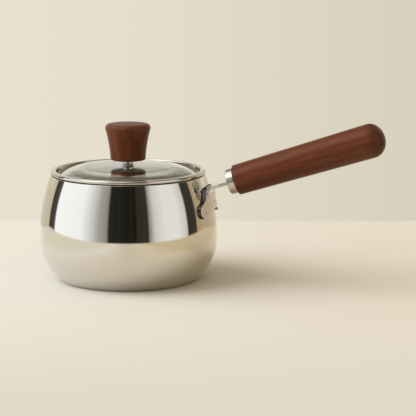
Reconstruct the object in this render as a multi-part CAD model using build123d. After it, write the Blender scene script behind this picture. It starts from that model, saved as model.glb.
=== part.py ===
from build123d import *
import math
import os

# Milk pan with a lift-off glass lid and a wooden stick handle.
# Millimetres. Origin at the centre of the base's underside, +Z up, handle along +X.

# Pan body: clad sheet, an aluminium core between two steel skins
rim_radius = 71.9
rim_height = 98.6
belly_bulge = 11.5
belly_height = 38.3
base_inset = 21.9
heel_radius = 7.8
outer_skin = 0.5
core_sheet = 1.1
inner_skin = 0.4
lip_depth = 1.2
lip_round = 0.5

# Stamped bracket, spot-welded to the wall under the rim
bracket_drop = 8.8
bracket_top_width = 34.0
bracket_corner = 8.0
bracket_scallop = 22.0
bracket_stand = 3.2
bracket_sheet = 1.2
bracket_round = 0.8
lobe_radius = 6.8
lobe_spread = 25.4
lobe_drop = 20.1
arch_drop = 20.8
weld_radius = 2.6
dimple_radius = 1.7
dimple_depth = 1.1
middle_weld_drop = 14.1

# Handle axis and the flared strap
handle_tilt = 17.9
tang_root_drop = 1.6
tang_length = 18.3
tang_thickness = 2.8
tang_width = 16.0
tang_root_width = 30.0
tang_shoulder = 1.6
tang_flare = 9.0
tang_flare_round = 5.0
tang_foot = 7.5
tang_foot_sheet = 1.2
tang_foot_sink = 0.8
tang_bend = 4.0
tang_slot_clearance = 0.13

# Ferrule, grip and what holds them
ferrule_radius = 11.9
ferrule_length = 6.8
ferrule_round = 0.7
ferrule_slot_depth = 4.0
grip_length = 143.5
grip_start_radius = 14.05
grip_end_radius = 15.8
grip_dome = 14.0
grip_dome_share = 0.58
grip_edge_round = 1.3
stud_radius = 2.5
stud_reach = 46.0
stud_chamfer = 0.6
stud_bore_clearance = 0.3
grip_insert_radius = 4.5
grip_insert_length = 18.0
grip_insert_recess = 1.5

# Lid: rolled steel band on a thin seal, gasket and domed glass
lid_clearance = 0.45
band_sheet = 0.7
bead_overhang = 0.6
bead_width = 5.4
bead_height = 3.2
bead_top_round = 1.6
bead_inner_round = 1.1
bead_foot_round = 0.9
skirt_depth = 8.4
skirt_lip = 3.6
skirt_round = 0.6
seal_height = 0.9
seal_inset = 0.1
glass_thickness = 3.2
glass_crown_radius = 1200.0
glass_shoulder_radius = 42.0
glass_shoulder_inset = 30.4
glass_hole_radius = 3.5
glass_edge_round = 0.4
gasket_wall = 1.1
gasket_foot = 0.5
gasket_foot_cover = 2.4
gasket_lip = 0.9

# Knob and the screw through the glass
knob_foot_radius = 16.3
knob_top_radius = 22.3
knob_waist_radius = 18.2
knob_height = 34.1
knob_shoulder_round = 3.7
knob_foot_round = 1.6
knob_crown = 0.7
spacer_radius = 4.85
spacer_height = 4.3
spacer_round = 0.7
upper_washer_radius = 4.6
lower_washer_radius = 7.0
soft_washer = 0.9
steel_washer_radius = 5.2
steel_washer = 0.8
screw_radius = 2.0
screw_head_radius = 4.0
screw_head_height = 2.4
screw_head_round = 1.0
screw_grip = 11.0
screw_slot_width = 1.1
screw_slot_depth = 1.2
screw_clearance = 0.3
knob_insert_radius = 3.8
knob_insert_length = 12.0
insert_groove = 0.5
insert_groove_width = 1.2
insert_groove_count = 3

# Shared fits
fit_gap = 0.02
end_gap = 1.0
overrun = 20.0

# Wall geometry: three arcs, tangent to each other, to the base and to the vertical
belly_radius = rim_radius + belly_bulge
base_flat_radius = belly_radius - base_inset
neck_height = rim_height - belly_height
upper_wall_radius = (neck_height**2 + belly_bulge**2) / (2 * belly_bulge)
upper_centre = belly_radius - upper_wall_radius
heel_rise = belly_height - heel_radius
lower_wall_radius = (base_inset**2 + heel_rise**2 - heel_radius**2) / (2 * (base_inset - heel_radius))
lower_centre = belly_radius - lower_wall_radius
heel_angle = math.degrees(math.atan2(heel_rise, base_flat_radius - lower_centre))
pan_sheet = outer_skin + core_sheet + inner_skin


def wall_radius(height, inset):
    """Radius of the wall above the belly, drawn in by inset."""
    return upper_centre + math.sqrt((upper_wall_radius - inset) ** 2 - (height - belly_height) ** 2)


def wall_body(inset, top):
    """Solid inside the pan's outline, drawn in by inset and cut flat at top."""
    upper_turn = math.degrees(math.asin((top - belly_height) / (upper_wall_radius - inset)))
    heel = CenterArc((base_flat_radius, heel_radius), heel_radius - inset, -90, 90 - heel_angle)
    lower = CenterArc((lower_centre, belly_height), lower_wall_radius - inset, -heel_angle, heel_angle)
    upper = CenterArc((upper_centre, belly_height), upper_wall_radius - inset, 0, upper_turn)
    floor_line = Line((0, inset), heel @ 0)
    top_line = Line(upper @ 1, (0, top))
    axis_line = Line((0, top), (0, inset))
    outline = make_face([floor_line, heel, lower, upper, top_line, axis_line])
    return revolve(Plane.XZ * outline, Axis.Z)


def ring_face(inner, outer, bottom, top):
    """Rectangle in the half plane of a revolved ring."""
    return make_face(Polyline((inner, bottom), (outer, bottom), (outer, top), (inner, top), close=True))


def turned(face):
    """Ring or disc turned about the pan's axis."""
    return revolve(Plane.XZ * face, Axis.Z)


def corner(face, right, upper):
    """The vertex of a flat outline at its right or left end of its upper or lower side."""
    row = face.vertices().group_by(Axis.Y)[-1 if upper else 0]
    return row.sort_by(Axis.X)[-1 if right else 0]


# Pan layers
def make_pan_core():
    top = rim_height - lip_depth
    return wall_body(outer_skin, top) - wall_body(outer_skin + core_sheet, top)


def make_pan_outer_skin():
    shell = wall_body(0, rim_height) - wall_body(outer_skin + core_sheet, rim_height)
    shell -= make_pan_core()
    rim_edges = shell.edges().filter_by(GeomType.CIRCLE).group_by(Axis.Z)[-1]
    return fillet(rim_edges.sort_by(SortBy.RADIUS)[-1], lip_round)


def make_pan_inner_skin():
    return wall_body(outer_skin + core_sheet, rim_height) - wall_body(pan_sheet, rim_height)


# Bracket
bracket_top = rim_height - bracket_drop
lobe_height = bracket_top - lobe_drop
arch_height = bracket_top - arch_drop


def towards(start, end, distance):
    """Point at a distance from start on the way to end."""
    step = Vector(*end) - Vector(*start)
    return tuple(Vector(*start) + step.normalized() * distance)[:2]


def third_corner(first, second, first_reach, second_reach):
    """Third corner of a triangle, on the right of the way from first to second."""
    base = Vector(*second) - Vector(*first)
    along = (base.length**2 + first_reach**2 - second_reach**2) / (2 * base.length)
    aside = math.sqrt(first_reach**2 - along**2)
    unit = base.normalized()
    left = Vector(-unit.Y, unit.X)
    return tuple(Vector(*first) + unit * along + left * aside)[:2]


def bracket_outline():
    """Bell with two lobes, as arcs that touch, with an arch between the lobes."""
    top_centre = (bracket_top_width / 2 - bracket_corner, bracket_top - bracket_corner)
    lobe_centre = (lobe_spread, lobe_height)
    side_centre = third_corner(
        top_centre, lobe_centre, bracket_scallop + bracket_corner, bracket_scallop + lobe_radius
    )
    lobe_rise = lobe_height - arch_height
    arch_radius = (lobe_spread**2 + lobe_rise**2 - lobe_radius**2) / (2 * (lobe_radius - lobe_rise))
    arch_centre = (0, arch_height - arch_radius)
    corner_start = (top_centre[0], bracket_top)
    side_start = towards(top_centre, side_centre, bracket_corner)
    lobe_start = towards(lobe_centre, side_centre, lobe_radius)
    arch_start = towards(lobe_centre, arch_centre, lobe_radius)
    top_line = Line((0, bracket_top), corner_start)
    corner_arc = TangentArc(corner_start, side_start, tangent=(1, 0))
    side_arc = TangentArc(side_start, lobe_start, tangent=corner_arc % 1)
    lobe_arc = TangentArc(lobe_start, arch_start, tangent=side_arc % 1)
    arch_arc = TangentArc(arch_start, (0, arch_height), tangent=lobe_arc % 1)
    half = [top_line, corner_arc, side_arc, lobe_arc, arch_arc]
    return make_face(half + [mirror(edge, Plane.YZ) for edge in half])


def weld_places():
    """Distance from the middle and height of each spot weld."""
    middle = (0, bracket_top - middle_weld_drop)
    return [(-lobe_spread, lobe_height), middle, (lobe_spread, lobe_height)]


def weld_axis(across, height):
    """Plane on the pan's axis that looks out through a spot weld."""
    angle = math.asin(across / wall_radius(height, -bracket_stand))
    return Plane(origin=(0, 0, height), z_dir=(math.cos(angle), math.sin(angle), 0))


def make_handle_bracket():
    outline = bracket_outline()
    reach = belly_radius + overrun
    face_level = wall_body(-bracket_stand, rim_height)
    back_level = wall_body(bracket_sheet - bracket_stand, rim_height)
    wall = wall_body(0, rim_height)
    plate = extrude(Plane.YZ * outline, reach) & face_level
    skin = max(plate.faces().filter_by(lambda face: not face.is_planar), key=lambda face: face.area)
    plate = fillet(skin.outer_wire().edges(), bracket_round)
    hollow = extrude(Plane.YZ * offset(outline, -bracket_sheet), reach) & back_level
    plate -= hollow
    for across, height in weld_places():
        look = weld_axis(across, height)
        post = look * Cylinder(weld_radius, reach, align=(Align.CENTER, Align.CENTER, Align.MIN))
        plate += post & back_level
        face_distance = wall_radius(height, -bracket_stand)
        ball_radius = (dimple_radius**2 + dimple_depth**2) / (2 * dimple_depth)
        ball_place = face_distance + ball_radius - dimple_depth
        plate -= look * Pos(0, 0, ball_place) * Sphere(ball_radius)
    return plate - wall


# Handle axis
tilt = math.radians(handle_tilt)
along = Vector(math.cos(tilt), 0, math.sin(tilt))
root_height = bracket_top - tang_root_drop
root = Vector(wall_radius(root_height, -bracket_stand), 0, root_height)
handle_plane = Plane(origin=root, x_dir=along, z_dir=(0, -1, 0))
handle_axis = Axis(root, along)
ferrule_end = tang_length + ferrule_length
grip_end = ferrule_end + grip_length
slot_end = tang_length + ferrule_slot_depth
bore_end = ferrule_end + stud_reach + end_gap


def handle_turned(face):
    """Ring or disc turned about the handle's axis."""
    return revolve(handle_plane * face, handle_axis)


def handle_ring(inner, outer, start, end):
    """Tube about the handle's axis, from start to end along it."""
    return handle_turned(ring_face(start, end, inner, outer))


def tang_side():
    """Side outline of the bent strap: foot down the bracket, then along the handle's axis."""
    foot_height = root_height - tang_foot
    foot_line = Vector(wall_radius(foot_height, -bracket_stand), 0, foot_height) - root
    down = handle_plane.to_local_coords(root + foot_line).normalized()
    out = Vector(-down.Y, down.X)
    half = tang_thickness / 2
    inside = -out * tang_foot_sink
    outside = out * tang_foot_sheet
    back_corner = inside + down * ((half - inside.Y) / down.Y)
    front_corner = outside + down * ((-half - outside.Y) / down.Y)
    foot_back = inside + down * foot_line.length
    foot_front = outside + down * foot_line.length
    points = [(slot_end, half), back_corner, foot_back, foot_front, front_corner, (slot_end, -half)]
    outline = make_face(Polyline(*points, close=True))
    bends = outline.vertices().sort_by_distance(front_corner)[:1]
    outline = fillet(bends, tang_bend)
    shoulder = outline.vertices().sort_by_distance(back_corner)[:1]
    return fillet(shoulder, tang_bend + tang_thickness)


def tang_plan():
    """Plan outline of the strap: wide at the wall, drawn in to the ferrule."""
    wide = tang_root_width / 2
    narrow = tang_width / 2
    neck_start = root.X + tang_shoulder
    neck_end = neck_start + tang_flare
    far_end = root.X + slot_end
    near = [(0, wide), (neck_start, wide), (neck_end, narrow), (far_end, narrow)]
    far = [(x, -y) for x, y in reversed(near)]
    outline = make_face(Polyline(*near, *far, close=True))
    flares = [v for v in outline.vertices() if v.X > neck_start - fit_gap and v.X < neck_end + fit_gap]
    return fillet(flares, tang_flare_round)


def make_handle_tang():
    half_turn = math.degrees(math.asin(tang_root_width / root.X))
    start = Rot(0, 0, -half_turn) * (handle_plane * tang_side())
    strap = revolve(start, Axis.Z, 2 * half_turn) & extrude(tang_plan(), rim_height + grip_length)
    return strap - wall_body(-bracket_stand, rim_height)


def make_ferrule():
    profile = ring_face(tang_length, ferrule_end, 0, ferrule_radius)
    profile = fillet(profile.vertices().group_by(Axis.Y)[-1], ferrule_round)
    collar = handle_turned(profile)
    slot_width = tang_width + 2 * tang_slot_clearance
    slot_height = tang_thickness + 2 * tang_slot_clearance
    slot = Box(ferrule_slot_depth, slot_height, slot_width, align=(Align.MIN, Align.CENTER, Align.CENTER))
    collar -= handle_plane * Pos(tang_length, 0, 0) * slot
    return collar - handle_ring(0, stud_radius + fit_gap, tang_length, ferrule_end)


def make_handle_stud():
    profile = ring_face(slot_end, ferrule_end + stud_reach, 0, stud_radius)
    return handle_turned(chamfer(corner(profile, True, True), stud_chamfer))


def grooved_tube(start, end, bore, radius):
    """Outline of a threaded insert with grooves round it, along the axis it is turned about."""
    outline = ring_face(start, end, bore, radius)
    pitch = (end - start) / (insert_groove_count + 1)
    for index in range(insert_groove_count):
        groove_start = start + pitch * (index + 1) - insert_groove_width / 2
        groove_end = groove_start + insert_groove_width
        outline -= ring_face(groove_start, groove_end, radius - insert_groove, radius + overrun)
    return outline


def make_grip_insert():
    start = ferrule_end + grip_insert_recess
    end = start + grip_insert_length
    return handle_turned(grooved_tube(start, end, stud_radius + fit_gap, grip_insert_radius))


def make_handle_grip():
    dome_start = grip_end - grip_dome
    side = Line((ferrule_end, grip_start_radius), (dome_start, grip_end_radius))
    lead = side @ 1 + (side % 1) * grip_dome * grip_dome_share
    dome = Bezier(side @ 1, lead, (grip_end, grip_end_radius * grip_dome_share), (grip_end, 0))
    axis_line = Line((grip_end, 0), (ferrule_end, 0))
    front_line = Line((ferrule_end, 0), (ferrule_end, grip_start_radius))
    profile = make_face([side, dome, axis_line, front_line])
    front_corner = profile.vertices().group_by(Axis.X)[0].sort_by(Axis.Y)[-1]
    profile = fillet(front_corner, grip_edge_round)
    insert_end = ferrule_end + grip_insert_recess + grip_insert_length
    profile -= ring_face(ferrule_end, insert_end, 0, grip_insert_radius + fit_gap)
    profile -= ring_face(ferrule_end, bore_end, 0, stud_radius + stud_bore_clearance)
    return handle_turned(profile)


# Lid levels and radii, from the pan's mouth
mouth_radius = wall_radius(rim_height, pan_sheet)
skirt_radius = mouth_radius - lid_clearance
skirt_inner = skirt_radius - band_sheet
skirt_bottom = rim_height - skirt_depth
bead_outer = rim_radius + bead_overhang
bead_inner = bead_outer - bead_width
bead_foot = rim_height + seal_height
bead_top = bead_foot + bead_height
glass_radius = skirt_inner - gasket_wall
glass_floor = skirt_bottom + band_sheet + gasket_foot
glass_shoulder_start = rim_radius - glass_shoulder_inset
crown_turn = math.degrees(math.asin(glass_shoulder_start / glass_crown_radius))
shoulder_share = 1 - glass_shoulder_radius / glass_crown_radius
shoulder_place = glass_shoulder_start * shoulder_share
shoulder_reach = glass_radius - shoulder_place
shoulder_drop = math.sqrt((glass_shoulder_radius - glass_thickness) ** 2 - shoulder_reach**2)
shoulder_level = glass_floor - shoulder_drop
glass_brim = shoulder_level + math.sqrt(glass_shoulder_radius**2 - shoulder_reach**2)
crown_fall = math.sqrt(glass_crown_radius**2 - glass_shoulder_start**2) * shoulder_share
glass_top = shoulder_level - crown_fall + glass_crown_radius
glass_under = glass_top - glass_thickness
flange_bottom = glass_brim + gasket_lip
spacer_bottom = glass_top + soft_washer
knob_bottom = spacer_bottom + spacer_height
knob_top = knob_bottom + knob_height
steel_washer_top = glass_under - soft_washer
screw_head_top = steel_washer_top - steel_washer


def glass_arcs(inset):
    """Shoulder and crown of the glass, from its edge up to the axis, drawn in by inset."""
    shoulder_radius = glass_shoulder_radius - inset
    edge_turn = math.degrees(math.acos(shoulder_reach / shoulder_radius))
    shoulder_turn = 90 - crown_turn - edge_turn
    crown_centre = (0, glass_top - glass_crown_radius)
    shoulder = CenterArc((shoulder_place, shoulder_level), shoulder_radius, edge_turn, shoulder_turn)
    crown = CenterArc(crown_centre, glass_crown_radius - inset, 90 - crown_turn, crown_turn)
    return shoulder, crown


def make_lid_glass():
    shoulder, crown = glass_arcs(0)
    inner_shoulder, inner_crown = glass_arcs(glass_thickness)
    edge = Line(inner_shoulder @ 0, shoulder @ 0)
    axis_line = Line(crown @ 1, inner_crown @ 1)
    profile = make_face([shoulder, crown, axis_line, inner_crown, inner_shoulder, edge])
    profile = fillet(profile.vertices().group_by(Axis.X)[-1], glass_edge_round)
    return turned(profile - ring_face(0, glass_hole_radius, 0, knob_top))


def make_lid_edge_gasket():
    inner = glass_radius - gasket_foot_cover
    channel = ring_face(inner, skirt_inner, skirt_bottom + band_sheet, flange_bottom)
    channel -= ring_face(0, bead_inner, glass_floor + glass_thickness / 2, knob_top)
    return turned(channel) - make_lid_glass()


def make_lid_rim_band():
    bead = ring_face(bead_inner, bead_outer, bead_foot, bead_top)
    bead = fillet(corner(bead, True, True), bead_top_round)
    bead = fillet(corner(bead, False, True), bead_inner_round)
    bead = fillet(corner(bead, True, False), bead_foot_round)
    bead -= offset(bead, -band_sheet)
    bead -= ring_face(bead_inner + band_sheet, skirt_inner, 0, bead_foot + band_sheet)
    bead += ring_face(bead_inner, bead_inner + band_sheet, flange_bottom, bead_foot + band_sheet)
    skirt = ring_face(skirt_inner - skirt_lip, skirt_radius, skirt_bottom, bead_foot + band_sheet)
    skirt = fillet(corner(skirt, True, False), skirt_round)
    skirt -= ring_face(0, skirt_inner, skirt_bottom + band_sheet, knob_top)
    return turned(bead + skirt)


def make_lid_seal():
    return turned(ring_face(skirt_radius, rim_radius - seal_inset, rim_height, bead_foot))


def make_knob_upper_washer():
    ring = ring_face(screw_radius + screw_clearance, upper_washer_radius, glass_under, spacer_bottom)
    return turned(ring) - make_lid_glass()


def make_knob_lower_washer():
    ring = ring_face(screw_radius + screw_clearance, lower_washer_radius, steel_washer_top, glass_under)
    return turned(ring) - make_lid_glass()


def make_knob_steel_washer():
    inner = screw_radius + screw_clearance
    return turned(ring_face(inner, steel_washer_radius, screw_head_top, steel_washer_top))


def make_knob_spacer():
    ring = ring_face(screw_radius + screw_clearance, spacer_radius, spacer_bottom, knob_bottom)
    return turned(fillet(ring.vertices().group_by(Axis.X)[-1], spacer_round))


def make_knob_screw():
    head_bottom = screw_head_top - screw_head_height
    head = ring_face(0, screw_head_radius, head_bottom, screw_head_top)
    head = fillet(corner(head, True, False), screw_head_round)
    shank = ring_face(0, screw_radius, screw_head_top, knob_bottom + screw_grip)
    screw = turned(head + shank)
    upward = (Align.CENTER, Align.CENTER, Align.MIN)
    slot = Box(2 * screw_head_radius, screw_slot_width, screw_slot_depth, align=upward)
    return screw - Pos(0, 0, head_bottom) * slot


def make_knob_insert():
    end = knob_bottom + knob_insert_length
    upright = Plane(origin=(0, 0, 0), x_dir=(0, 0, 1), z_dir=(0, -1, 0))
    outline = grooved_tube(knob_bottom, end, screw_radius + fit_gap, knob_insert_radius)
    return revolve(upright * outline, Axis.Z)


def make_knob():
    crown_edge = knob_top - knob_crown
    waist_height = (knob_bottom + crown_edge) / 2
    foot = Line((0, knob_bottom), (knob_foot_radius, knob_bottom))
    side = ThreePointArc(foot @ 1, (knob_waist_radius, waist_height), (knob_top_radius, crown_edge))
    crown = ThreePointArc((-knob_top_radius, crown_edge), (0, knob_top), side @ 1)
    half_crown = crown.trim(0.5, 1)
    axis_line = Line((0, knob_top), (0, knob_bottom))
    profile = make_face([foot, side, half_crown, axis_line])
    profile = fillet(corner(profile, True, False), knob_foot_round)
    shoulder = profile.vertices().sort_by(Axis.X)[-1]
    profile = fillet(shoulder, knob_shoulder_round)
    profile -= ring_face(0, knob_insert_radius + fit_gap, 0, knob_bottom + knob_insert_length + end_gap)
    return turned(profile)


pieces = {
    "pan_outer_skin": make_pan_outer_skin,
    "pan_core": make_pan_core,
    "pan_inner_skin": make_pan_inner_skin,
    "handle_bracket": make_handle_bracket,
    "handle_tang": make_handle_tang,
    "ferrule": make_ferrule,
    "handle_stud": make_handle_stud,
    "grip_insert": make_grip_insert,
    "handle_grip": make_handle_grip,
    "lid_rim_band": make_lid_rim_band,
    "lid_seal": make_lid_seal,
    "lid_edge_gasket": make_lid_edge_gasket,
    "lid_glass": make_lid_glass,
    "knob_upper_washer": make_knob_upper_washer,
    "knob_spacer": make_knob_spacer,
    "knob": make_knob,
    "knob_insert": make_knob_insert,
    "knob_screw": make_knob_screw,
    "knob_steel_washer": make_knob_steel_washer,
    "knob_lower_washer": make_knob_lower_washer,
}

os.makedirs("parts", exist_ok=True)
for node, make in pieces.items():
    export_step(make(), "parts/" + node + ".step")
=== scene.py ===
import math

import bpy
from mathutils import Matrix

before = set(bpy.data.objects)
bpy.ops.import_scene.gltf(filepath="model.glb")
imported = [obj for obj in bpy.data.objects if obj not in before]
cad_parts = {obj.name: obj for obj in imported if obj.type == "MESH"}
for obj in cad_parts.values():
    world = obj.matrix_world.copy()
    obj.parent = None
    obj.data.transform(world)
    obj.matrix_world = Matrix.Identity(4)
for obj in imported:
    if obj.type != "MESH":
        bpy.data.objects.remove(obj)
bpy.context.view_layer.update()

# Camera: its place, its turn towards the handle's side, its tilt, and its lens in millimetres
camera_place = (0.4005, -1.5253, 0.3465)
camera_turn = math.radians(12.0)
camera_tilt = math.radians(10.1)
camera_lens = 147.5
sensor_width = 36.0
far_clip = 20.0

# Rise of the handle's axis, for the grain of the grip
handle_tilt = math.radians(17.9)


def srgb(red, green, blue):
    """Linear colour of an 8-bit screen colour."""
    out = []
    for value in (red, green, blue):
        share = value / 255
        out.append(share / 12.92 if share <= 0.04045 else ((share + 0.055) / 1.055) ** 2.4)
    return (*out, 1.0)


def grey(value):
    return (value, value, value, 1.0)


class Nodes:
    """A node tree that is filled by short calls."""

    def __init__(self, tree):
        self.tree = tree
        tree.nodes.clear()

    def feed(self, socket, value):
        """Link an output to the socket, or set its value."""
        if isinstance(value, bpy.types.NodeSocket):
            self.tree.links.new(value, socket)
        else:
            socket.default_value = value

    def add(self, kind, settings=None, **inputs):
        """New node. Inputs are given by name, or by place as i0, i1 and so on."""
        node = self.tree.nodes.new("ShaderNode" + kind)
        for key, value in (settings or {}).items():
            setattr(node, key, value)
        for key, value in inputs.items():
            by_place = key[0] == "i" and key[1:].isdigit()
            place = int(key[1:]) if by_place else key.replace("_", " ")
            self.feed(node.inputs[place], value)
        return node

    def math(self, operation, first, second=0.0):
        """Output of a math node."""
        return self.add("Math", {"operation": operation}, i0=first, i1=second).outputs[0]

    def weighted(self, *parts):
        """Sum of values, each given as (value, weight)."""
        total = self.math("MULTIPLY", *parts[0])
        for value, weight in parts[1:]:
            total = self.math("ADD", total, self.math("MULTIPLY", value, weight))
        return total

    def vector(self, operation, first, second=(0.0, 0.0, 0.0), output="Vector"):
        """Output of a vector math node."""
        node = self.add("VectorMath", {"operation": operation}, i0=first, i1=second)
        return node.outputs[output]

    def steps(self, value, low, high):
        """0 up to low, 1 from high on, smooth between. low may be the larger one."""
        settings = {"interpolation_type": "SMOOTHSTEP"}
        node = self.add("MapRange", settings, Value=value, From_Min=low, From_Max=high)
        return node.outputs[0]

    def rescale(self, value, target, source=(0.0, 1.0)):
        """Value moved from the source range to the target range, and held inside it."""
        node = self.add("MapRange", Value=value, From_Min=source[0], From_Max=source[1])
        self.feed(node.inputs["To Min"], target[0])
        self.feed(node.inputs["To Max"], target[1])
        return node.outputs[0]

    def ramp(self, value, stops):
        """Colour ramp with stops as (place, colour)."""
        node = self.add("ValToRGB", Fac=value)
        elements = node.color_ramp.elements
        while len(elements) > 1:
            elements.remove(elements[-1])
        elements[0].position, elements[0].color = stops[0]
        for place, colour in stops[1:]:
            elements.new(place).color = colour
        return node.outputs[0]

    def mix(self, share, first, second, blend="MIX"):
        """Mix of two colours. A Mix node has them at places 6 and 7, and the result at 2."""
        settings = {"data_type": "RGBA", "blend_type": blend}
        return self.add("Mix", settings, i0=share, i6=first, i7=second).outputs[2]

    def placed(self, rotation=(0, 0, 0), scale=(1, 1, 1), location=(0, 0, 0)):
        """Object coordinates, turned back, moved back and scaled."""
        source = self.add("TexCoord").outputs["Object"]
        settings = {"vector_type": "TEXTURE"}
        turn = self.add("Mapping", settings, Vector=source, Rotation=rotation, Location=location)
        return self.add("Mapping", Vector=turn.outputs[0], Scale=scale).outputs[0]

    def noise(self, vector, scale, detail=3.0, roughness=0.5, distortion=0.0):
        """Value of a noise texture."""
        node = self.add(
            "TexNoise",
            Vector=vector,
            Scale=scale,
            Detail=detail,
            Roughness=roughness,
            Distortion=distortion,
        )
        return node.outputs[0]

    def stretched(self, vector, scale, detail, roughness):
        """Value of a noise texture with a scale for each axis."""
        place = self.add("Mapping", Vector=vector, Scale=scale)
        return self.noise(place.outputs[0], scale=1.0, detail=detail, roughness=roughness)

    def bump(self, height, strength, distance, normal=None):
        """Normal from a height."""
        node = self.add("Bump", Height=height, Strength=strength, Distance=distance)
        if normal is not None:
            self.feed(node.inputs["Normal"], normal)
        return node.outputs[0]


def new_material(name):
    """Empty node material."""
    material = bpy.data.materials.new(name)
    material.use_nodes = True
    return material, Nodes(material.node_tree)


def finish_material(nodes, shader):
    nodes.add("OutputMaterial", Surface=shader.outputs[0])


# Steel: how much smears darken it, and how deep its waves and scratches are
smear_dimming = 0.965
wave_depth = 0.0004
scratch_depth = 0.00003

# Stamped steel: the tones of its faces, and its roughness on faces and on edges
stamped_face_dark = (0.66, 0.64, 0.60, 1.0)
stamped_face_light = (0.74, 0.72, 0.68, 1.0)
stamped_roughness = (0.09, 0.34)

# How squarely the bracket faces out from the pan where its faces start, and how squarely the
# strap faces sideways where its edges start. The bracket's sides turn near black as painted
# shade.
bracket_facing = (0.35, 0.75)
strap_facing = (0.45, 0.75)

# Walnut: its tones from dark to light, and the colours laid over them
walnut_tones = [
    (0.34, srgb(72, 35, 18)),
    (0.46, srgb(87, 43, 22)),
    (0.56, srgb(98, 51, 28)),
    (0.70, srgb(118, 67, 40)),
]
walnut_stain = srgb(52, 26, 14)
walnut_pore = srgb(46, 20, 12)
walnut_end = srgb(68, 38, 21)
pore_share = 0.40
pore_edge = (0.60, 0.74)
pore_depth = 0.00008
end_share = 0.65

# Walnut's grain sways sideways by this much, and by this share of it the other way across
grain_sway = 0.016
cross_sway = 0.7

# Glass: its faint tint, from clear to smeared
glass_clear = (0.955, 0.965, 0.955, 1.0)
glass_smeared = (0.975, 0.985, 0.975, 1.0)

# Moulded and cast surfaces: how far their roughness varies, and how deep their mottle is
mottle_roughness = 0.06
mottle_depth = 0.00004


def make_steel(name, colour, roughness, grain_scale, grain_bump, wave_bump):
    """Steel with smears in its polish, fine lines along its grain and a slight wave."""
    material, n = new_material(name)
    plain = n.placed()
    smear = n.noise(plain, scale=28.0, detail=4.0, roughness=0.6, distortion=0.4)
    lines = n.noise(n.placed(scale=grain_scale), scale=1.0, detail=3.0, roughness=0.6)
    wave = n.noise(plain, scale=16.0, detail=1.0)
    wear = n.weighted((smear, 0.6), (lines, 0.4))
    rough = n.rescale(wear, target=roughness, source=(0.30, 0.70))
    dimmed = (*(part * smear_dimming for part in colour[:3]), 1.0)
    tint = n.ramp(smear, [(0.30, dimmed), (0.70, colour)])
    normal = n.bump(wave, strength=wave_bump, distance=wave_depth)
    normal = n.bump(lines, strength=grain_bump, distance=scratch_depth, normal=normal)
    shader = n.add(
        "BsdfPrincipled",
        Base_Color=tint,
        Metallic=1.0,
        Roughness=rough,
        Normal=normal,
    )
    finish_material(n, shader)
    return material


def make_stamped_steel(name, find_edges, edge_dark, edge_light, hatch_turn):
    """Polished steel with darker hatched edges. find_edges gives 1 on them and 0 elsewhere. On
    the bracket the near-black edges are painted shade.
    """
    material, n = new_material(name)
    on_edge = find_edges(n)
    smear = n.noise(n.placed(), scale=60.0, detail=4.0, roughness=0.6, distortion=0.4)
    hatch_place = n.placed(rotation=hatch_turn, scale=(2400, 2400, 260))
    hatch = n.noise(hatch_place, scale=1.0, detail=2.0)
    face = n.ramp(smear, [(0.30, stamped_face_dark), (0.70, stamped_face_light)])
    edge = n.ramp(hatch, [(0.38, edge_dark), (0.64, edge_light)])
    shader = n.add(
        "BsdfPrincipled",
        Base_Color=n.mix(on_edge, face, edge),
        Metallic=1.0,
        Roughness=n.rescale(on_edge, target=stamped_roughness),
        Normal=n.bump(hatch, strength=0.12, distance=scratch_depth),
    )
    finish_material(n, shader)
    return material


def bracket_sides_painted_shade(n):
    """1 where the bracket's surface faces along the pan's wall, not out from it: the sides that
    get painted shade.
    """
    outward = n.vector("NORMALIZE", n.vector("MULTIPLY", n.placed(), (1.0, 1.0, 0.0)))
    normal = n.add("TexCoord").outputs["Normal"]
    facing = n.math("ABSOLUTE", n.vector("DOT_PRODUCT", normal, outward, "Value"))
    return n.math("SUBTRACT", 1.0, n.steps(facing, *bracket_facing))


def strap_edges(n):
    """1 where the strap's surface faces sideways."""
    normal = n.add("SeparateXYZ", Vector=n.add("TexCoord").outputs["Normal"])
    return n.steps(n.math("ABSOLUTE", normal.outputs["Y"]), *strap_facing)


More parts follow.
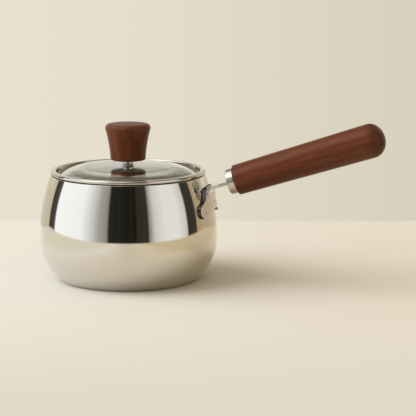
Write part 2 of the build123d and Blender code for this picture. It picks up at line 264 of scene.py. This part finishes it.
def make_walnut(name, rotation, centre, seed, stain, end_grain):
    """Oiled walnut, its grain along the turned X axis, darker over its end grain."""
    material, n = new_material(name)
    source = n.placed(rotation=rotation, location=centre)

    # The grain sways as it runs along
    drift = n.add("Mapping", Vector=source, Scale=(5.0, 26.0, 26.0), Location=(seed, 0, 0))
    sway = n.math("SUBTRACT", n.noise(drift.outputs[0], scale=1.0, detail=2.0), 0.5)
    sway_y = n.math("MULTIPLY", sway, grain_sway)
    sway_z = n.math("MULTIPLY", sway_y, cross_sway)
    shift = n.add("CombineXYZ", Y=sway_y, Z=sway_z)
    swayed = n.vector("ADD", source, shift.outputs[0])

    # Growth rings, and patterns drawn out along the grain
    rings = n.add(
        "TexWave",
        {"wave_type": "RINGS", "rings_direction": "X", "wave_profile": "SIN"},
        Vector=swayed,
        Scale=34.0,
        Distortion=2.2,
        Detail=2.0,
        Detail_Scale=0.6,
    )
    fibre = n.stretched(swayed, scale=(26.0, 900.0, 900.0), detail=4.0, roughness=0.62)
    streak = n.stretched(swayed, scale=(9.0, 170.0, 170.0), detail=3.0, roughness=0.55)
    fleck = n.stretched(swayed, scale=(130.0, 760.0, 760.0), detail=2.0, roughness=0.6)
    pore = n.stretched(source, scale=(150.0, 2600.0, 2600.0), detail=2.0, roughness=0.5)
    pores = n.steps(pore, *pore_edge)

    tone = n.weighted((rings.outputs["Fac"], 0.10), (streak, 0.26), (fibre, 0.36), (fleck, 0.28))
    colour = n.mix(stain, n.ramp(tone, walnut_tones), walnut_stain)
    colour = n.mix(n.math("MULTIPLY", pores, pore_share), colour, walnut_pore)
    along = n.add("SeparateXYZ", Vector=source).outputs["X"]
    at_end = n.math("MULTIPLY", n.steps(along, *end_grain), end_share)
    colour = n.mix(at_end, colour, walnut_end)
    height = n.math("SUBTRACT", n.math("MULTIPLY", fibre, 0.5), pores)
    shader = n.add(
        "BsdfPrincipled",
        Base_Color=colour,
        Roughness=n.rescale(fibre, target=(0.36, 0.52)),
        Normal=n.bump(height, strength=0.25, distance=pore_depth),
        Specular_IOR_Level=0.14,
        Coat_Weight=0.10,
        Coat_Roughness=0.18,
    )
    finish_material(n, shader)
    return material


def make_glass():
    """Clear tempered glass with a faint tint and a few smears."""
    material, n = new_material("lid_glass_clear")
    smear = n.noise(n.placed(), scale=34.0, detail=4.0, roughness=0.6, distortion=0.6)
    shader = n.add(
        "BsdfPrincipled",
        Base_Color=n.ramp(smear, [(0.30, glass_clear), (0.70, glass_smeared)]),
        Roughness=n.rescale(smear, target=(0.0, 0.05), source=(0.45, 0.75)),
        IOR=1.5,
        Transmission_Weight=1.0,
    )
    finish_material(n, shader)
    return material


def make_matte(name, dark, light, roughness, metallic=0.0, gloss=0.5):
    """Plain moulded or cast surface with a fine mottle."""
    material, n = new_material(name)
    mottle = n.noise(n.placed(), scale=220.0, detail=4.0, roughness=0.6)
    rough_range = (roughness - mottle_roughness, roughness + mottle_roughness)
    shader = n.add(
        "BsdfPrincipled",
        Base_Color=n.ramp(mottle, [(0.30, dark), (0.70, light)]),
        Metallic=metallic,
        Roughness=n.rescale(mottle, target=rough_range),
        Specular_IOR_Level=gloss,
        Normal=n.bump(mottle, strength=0.15, distance=mottle_depth),
    )
    finish_material(n, shader)
    return material


polished = make_steel(
    "polished_steel_skin",
    colour=(0.71, 0.680, 0.605, 1.0),
    roughness=(0.025, 0.055),
    grain_scale=(6, 6, 700),
    grain_bump=0.02,
    wave_bump=0.02,
)
bright = make_steel(
    "polished_steel_trim",
    colour=(0.59, 0.555, 0.485, 1.0),
    roughness=(0.05, 0.10),
    grain_scale=(500, 500, 60),
    grain_bump=0.06,
    wave_bump=0.02,
)
satin = make_steel(
    "satin_steel_inside",
    colour=(0.70, 0.685, 0.65, 1.0),
    roughness=(0.22, 0.34),
    grain_scale=(12, 12, 2400),
    grain_bump=0.30,
    wave_bump=0.0,
)
plain_steel = make_steel(
    "plain_steel",
    colour=(0.62, 0.61, 0.60, 1.0),
    roughness=(0.25, 0.38),
    grain_scale=(900, 900, 900),
    grain_bump=0.25,
    wave_bump=0.0,
)
core = make_matte(
    "aluminium_core",
    dark=(0.68, 0.68, 0.69, 1.0),
    light=(0.78, 0.78, 0.79, 1.0),
    roughness=0.42,
    metallic=1.0,
)
brass = make_matte(
    "brass",
    dark=(0.62, 0.43, 0.17, 1.0),
    light=(0.74, 0.54, 0.24, 1.0),
    roughness=0.34,
    metallic=1.0,
)
silicone = make_matte(
    "silicone",
    dark=(0.006, 0.006, 0.005, 1.0),
    light=(0.012, 0.011, 0.010, 1.0),
    roughness=0.60,
    gloss=0.15,
)
clear_silicone = make_matte(
    "clear_silicone",
    dark=(0.52, 0.50, 0.46, 1.0),
    light=(0.62, 0.60, 0.56, 1.0),
    roughness=0.42,
)
bracket_steel = make_stamped_steel(
    "polished_steel_bracket",
    find_edges=bracket_sides_painted_shade,
    # Near-black painted shade on the bracket's sides, in place of the shadow of the gap between
    # bracket and pan
    edge_dark=(0.018, 0.016, 0.013, 1.0),
    edge_light=(0.11, 0.10, 0.085, 1.0),
    hatch_turn=(0.0, 0.7, 0.0),
)
strap_steel = make_stamped_steel(
    "polished_steel_strap",
    find_edges=strap_edges,
    edge_dark=(0.34, 0.32, 0.285, 1.0),
    edge_light=(0.80, 0.77, 0.70, 1.0),
    hatch_turn=(0.0, 0.9, 0.0),
)
grip_wood = make_walnut(
    "walnut_grip",
    rotation=(0, -handle_tilt, 0),
    centre=(0.0, -0.040, 0.030),
    seed=3.1,
    stain=0.12,
    end_grain=(0.238, 0.262),
)
knob_wood = make_walnut(
    "walnut_knob",
    rotation=(0, -math.pi / 2, 0),
    centre=(0.030, -0.034, 0.0),
    seed=8.7,
    stain=0.02,
    end_grain=(0.1445, 0.1475),
)
glass = make_glass()

looks = {
    "pan_outer_skin": polished,
    "pan_core": core,
    "pan_inner_skin": satin,
    "handle_bracket": bracket_steel,
    "handle_tang": strap_steel,
    "ferrule": bright,
    "handle_stud": plain_steel,
    "grip_insert": brass,
    "handle_grip": grip_wood,
    "lid_rim_band": bright,
    "lid_seal": silicone,
    "lid_edge_gasket": clear_silicone,
    "lid_glass": glass,
    "knob_upper_washer": clear_silicone,
    "knob_spacer": bright,
    "knob": knob_wood,
    "knob_insert": brass,
    "knob_screw": plain_steel,
    "knob_steel_washer": plain_steel,
    "knob_lower_washer": silicone,
}
for node, material in looks.items():
    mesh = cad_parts[node].data
    mesh.materials.clear()
    mesh.materials.append(material)

# The pan mirrors the strap and the ferrule, but not the grip and what the grip holds
for node in ("handle_grip", "handle_stud", "grip_insert"):
    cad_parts[node].visible_glossy = False


# Table: a round pale top. Places on it are measured to the camera's right and away from it.
table_radius = 0.83
table_rings = 24
table_sectors = 180
# Painted light: the top is lighter on the left, with painted shade darker to the right and at
# the front
table_painted_lit_left = (0.705, 0.692, 0.650, 1.0)
table_painted_shade_right = (0.630, 0.598, 0.530, 1.0)
table_painted_shade_front = (0.605, 0.580, 0.545, 1.0)
table_mottle = grey(0.5)
mottle_share = 0.05
painted_light_side_blend = (-0.25, 0.40)
painted_shade_front_blend = (-0.10, -0.48)

# The top ends at the horizon behind the pan, and fades out towards its rim
horizon = (0.279, 0.295)
rim_fade = (0.60, 0.82)

# Colours of the table that the steel mirrors, from left of the pan to right of it: a painted
# reflection, darker and warmer to the right as painted shade
mirrored_span = (-0.30, 0.30)
mirrored_table = [
    (0.00, (0.740, 0.735, 0.700, 1.0)),
    (0.25, (0.800, 0.800, 0.825, 1.0)),
    (0.50, (0.650, 0.625, 0.575, 1.0)),
    (0.75, (0.710, 0.665, 0.590, 1.0)),
    (1.00, (0.610, 0.540, 0.410, 1.0)),
]


def make_table_mesh():
    """Disc in rings of four-sided faces round a middle of triangles."""
    points = [(0.0, 0.0, 0.0)]
    for ring in range(1, table_rings + 1):
        radius = table_radius * ring / table_rings
        for sector in range(table_sectors):
            angle = 2 * math.pi * sector / table_sectors
            points.append((radius * math.cos(angle), radius * math.sin(angle), 0.0))
    faces = []
    for sector in range(table_sectors):
        following = (sector + 1) % table_sectors
        faces.append((0, 1 + sector, 1 + following))
        for ring in range(table_rings - 1):
            inner = 1 + ring * table_sectors
            outer = inner + table_sectors
            faces.append((inner + sector, outer + sector, outer + following, inner + following))
    mesh = bpy.data.meshes.new("table")
    mesh.from_pydata(points, [], faces)
    return mesh


def make_table_material():
    """Matte pale top with painted light and shade, which shows a painted reflection of its own
    in mirrors.
    """
    material, n = new_material("table_top")
    across = n.add("SeparateXYZ", Vector=n.placed(rotation=(0, 0, camera_turn)))
    right, away, _ = across.outputs
    mottle = n.noise(n.placed(), scale=60.0, detail=5.0, roughness=0.6)
    # Painted light and shade: lighter on the left, darker to the right and at the front
    colour = n.mix(n.steps(right, *painted_light_side_blend), table_painted_lit_left, table_painted_shade_right)
    colour = n.mix(n.steps(away, *painted_shade_front_blend), colour, table_painted_shade_front)
    span = n.rescale(right, target=(0.0, 1.0), source=mirrored_span)
    # Painted reflection: mirrors see the ramp's colours instead of the table's own
    in_mirror = n.add("LightPath").outputs["Is Glossy Ray"]
    colour = n.mix(in_mirror, colour, n.ramp(span, mirrored_table))
    colour = n.mix(n.math("MULTIPLY", mottle, mottle_share), colour, table_mottle)
    shader = n.add(
        "BsdfPrincipled",
        Base_Color=colour,
        Roughness=0.85,
        Specular_IOR_Level=0.15,
        Normal=n.bump(mottle, strength=0.05, distance=0.0002),
    )
    reach = n.vector("LENGTH", n.placed(), output="Value")
    fade = n.math("MAXIMUM", n.steps(away, *horizon), n.steps(reach, *rim_fade))
    clear = n.add("BsdfTransparent")
    top = n.add("MixShader", i0=fade, i1=shader.outputs[0], i2=clear.outputs[0])
    finish_material(n, top)
    return material


table = bpy.data.objects.new("table", make_table_mesh())
table.data.materials.append(make_table_material())
bpy.context.scene.collection.objects.link(table)


# World: a studio by direction. right, away and up are the parts of a direction of length 1,
# measured from the camera's side.

# Wall, and floor beyond the table, as the camera sees them. The wall is lighter on the left and
# darker on the right: painted light and shade.
wall_painted_lit_left = (0.800, 0.748, 0.615, 1.0)
wall_painted_shade_right = (0.680, 0.630, 0.500, 1.0)
wall_blend = (-0.12, 0.16)
floor_beyond = (0.800, 0.745, 0.630, 1.0)
floor_blend = (-0.185, -0.235)

# Light that matte surfaces gather
soft_left = (0.74, 0.71, 0.66, 1.0)
soft_right = (0.62, 0.500, 0.300, 1.0)
soft_blend = (-0.8, 0.8)

# Bands of light and dark that mirrors show round the pan, by angle in degrees:
# 0 is the camera's side and 90 the right of it
bands = [
    (-180, (0.80, 0.74, 0.60)),
    (-124, (0.76, 0.70, 0.56)),
    (-122, (0.06, 0.05, 0.04)),
    (-109, (0.11, 0.10, 0.09)),
    (-107, (1.37, 1.42, 1.56)),
    (-62, (1.32, 1.36, 1.48)),
    (-46, (0.87, 0.89, 0.93)),
    (-36, (0.51, 0.52, 0.52)),
    (-29, (0.43, 0.43, 0.41)),
    (-25, (0.33, 0.32, 0.30)),
    (-23.5, (0.026, 0.027, 0.023)),
    (12, (0.014, 0.013, 0.010)),
    (14, (0.045, 0.037, 0.028)),
    (28, (0.050, 0.040, 0.030)),
    (30, (0.35, 0.32, 0.27)),
    (37, (0.88, 0.88, 0.87)),
    (52, (1.09, 1.10, 1.12)),
    (70, (1.08, 1.10, 1.13)),
    (84, (0.83, 0.82, 0.80)),
    (86, (0.050, 0.044, 0.033)),
    (101, (0.056, 0.050, 0.040)),
    (103, (0.58, 0.44, 0.29)),
    (125, (0.62, 0.50, 0.35)),
    (180, (0.80, 0.74, 0.60)),
]

# Faint upright streaks in the bands
streaks_round = 14.0
streak_dimming = 0.10
streak_edge = (0.50, 0.72)
streak_lift = 0.020

# Ceiling over the bands, with a softbox of a bright core and a wide glow. Its pairs are
# cosines of the angle to its middle.
ceiling_height = (0.58, 0.72)
ceiling_light = (0.38, 0.36, 0.32, 1.0)
softbox_middle = (-0.62, -0.32, 0.716)
glow_edge = (0.62, 0.90)
glow_light = (1.6, 1.57, 1.52, 1.0)
core_edge = (0.91, 0.97)
core_light = (3.4, 3.35, 3.25, 1.0)

# Behind the pan, mirrors show a pale wall, and over its bent top edge the dimmer room
back_width = (0.62, 0.80)
back_foot = (0.02, 0.06)
back_top = (0.84, 0.94)
back_wall = (0.88, 0.84, 0.77, 1.0)
back_edge = (0.167, 0.175)
edge_bend = 30.0
room_blend = (-0.10, 0.10)
room_height = (0.22, 0.34)
low_room_left = (0.80, 0.77, 0.69, 1.0)
low_room_right = (0.33, 0.31, 0.27, 1.0)
high_room_left = (0.34, 0.33, 0.29, 1.0)
high_room_right = (0.15, 0.14, 0.12, 1.0)


def mirrored_bands(n, right, away):
    """Bands round the pan, with their streaks."""
    around = n.math("ARCTAN2", right, n.math("MULTIPLY", away, -1.0))
    place = n.math("ADD", n.math("DIVIDE", around, 2 * math.pi), 0.5)
    ring = n.ramp(place, [((angle + 180) / 360, (*colour, 1.0)) for angle, colour in bands])
    streak_place = n.add("CombineXYZ", X=n.math("MULTIPLY", around, streaks_round))
    streaks = n.noise(streak_place.outputs[0], scale=1.0, detail=3.0, roughness=0.6)
    ring = n.mix(n.math("MULTIPLY", streaks, streak_dimming), ring, grey(0.0))
    lift = n.math("MULTIPLY", n.steps(streaks, *streak_edge), streak_lift)
    glow = n.add("CombineXYZ", X=lift, Y=lift, Z=lift)
    return n.mix(1.0, ring, glow.outputs[0], "ADD")


def mirrored_ceiling(n, direction):
    """Ceiling with the softbox in it."""
    cosine = n.vector("DOT_PRODUCT", direction, softbox_middle, "Value")
    ceiling = n.mix(n.steps(cosine, *glow_edge), ceiling_light, glow_light)
    return n.mix(n.steps(cosine, *core_edge), ceiling, core_light)


def mirrored_back(n, right, up):
    """Pale wall behind the pan, and the room over it."""
    side = n.steps(right, *room_blend)
    low_room = n.mix(side, low_room_left, low_room_right)
    high_room = n.mix(side, high_room_left, high_room_right)
    room = n.mix(n.steps(up, *room_height), low_room, high_room)
    bend = n.math("MULTIPLY", n.math("POWER", n.math("ABSOLUTE", right), 4.0), edge_bend)
    over = n.math("SUBTRACT", up, bend)
    return n.mix(n.steps(over, *back_edge), back_wall, room)


def back_share(n, right, away, up):
    """1 in the directions behind the pan, 0 elsewhere."""
    level = n.math("ADD", n.math("MULTIPLY", right, right), n.math("MULTIPLY", away, away))
    squarely = n.math("DIVIDE", away, n.math("SQRT", level))
    share = n.steps(squarely, *back_width)
    share = n.math("MULTIPLY", share, n.math("SUBTRACT", 1.0, n.steps(up, *back_top)))
    return n.math("MULTIPLY", share, n.steps(up, *back_foot))


def make_world():
    """Plain wall to the camera, soft light to matte surfaces, a studio to mirrors."""
    world = bpy.data.worlds.new("studio")
    world.use_nodes = True
    bpy.context.scene.world = world
    n = Nodes(world.node_tree)
    seen_from = n.add("TexCoord").outputs["Generated"]
    settings = {"rotation_type": "Z_AXIS"}
    turned = n.add("VectorRotate", settings, Vector=seen_from, Angle=-camera_turn)
    direction = turned.outputs[0]
    right, away, up = n.add("SeparateXYZ", Vector=direction).outputs

    studio = n.mix(
        n.steps(up, *ceiling_height),
        mirrored_bands(n, right, away),
        mirrored_ceiling(n, direction),
    )
    studio = n.mix(back_share(n, right, away, up), studio, mirrored_back(n, right, up))
    # Painted light on the wall: lighter on the left, darker on the right
    wall = n.mix(n.steps(right, *wall_blend), wall_painted_lit_left, wall_painted_shade_right)
    wall = n.mix(n.steps(up, *floor_blend), wall, floor_beyond)
    soft = n.mix(n.steps(right, *soft_blend), soft_left, soft_right)

    path = n.add("LightPath")
    camera_ray, clear_ray = path.outputs["Is Camera Ray"], path.outputs["Is Transmission Ray"]
    colour = n.mix(path.outputs["Is Diffuse Ray"], studio, soft)
    colour = n.mix(n.math("MAXIMUM", camera_ray, clear_ray), colour, wall)
    background = n.add("Background", Color=colour, Strength=1.0)
    n.add("OutputWorld", Surface=background.outputs[0])


make_world()


def make_lamp(name, strength, fall, swing, spread):
    """Wide soft light from the left, seen by no mirror.

    fall is its angle from straight above, swing its turn towards the front and spread its
    width, all in degrees.
    """
    light = bpy.data.lights.new(name, "SUN")
    light.energy = strength
    light.angle = math.radians(spread)
    lamp = bpy.data.objects.new(name, light)
    bpy.context.scene.collection.objects.link(lamp)
    lamp.rotation_euler = (0.0, math.radians(-fall), camera_turn + math.radians(swing))
    lamp.visible_glossy = False
    lamp.visible_transmission = False


make_lamp("key", strength=1.95, fall=48.0, swing=5.0, spread=54.0)
make_lamp("side", strength=2.00, fall=80.0, swing=0.0, spread=70.0)


def make_camera():
    """Camera at the photograph's viewing angle."""
    data = bpy.data.cameras.new("camera")
    data.lens = camera_lens
    data.sensor_width = sensor_width
    data.clip_end = far_clip
    camera = bpy.data.objects.new("camera", data)
    camera.location = camera_place
    camera.rotation_euler = (math.pi / 2 - camera_tilt, 0.0, camera_turn)
    bpy.context.scene.collection.objects.link(camera)
    bpy.context.scene.camera = camera


make_camera()
bpy.context.scene.view_settings.view_transform = "Standard"
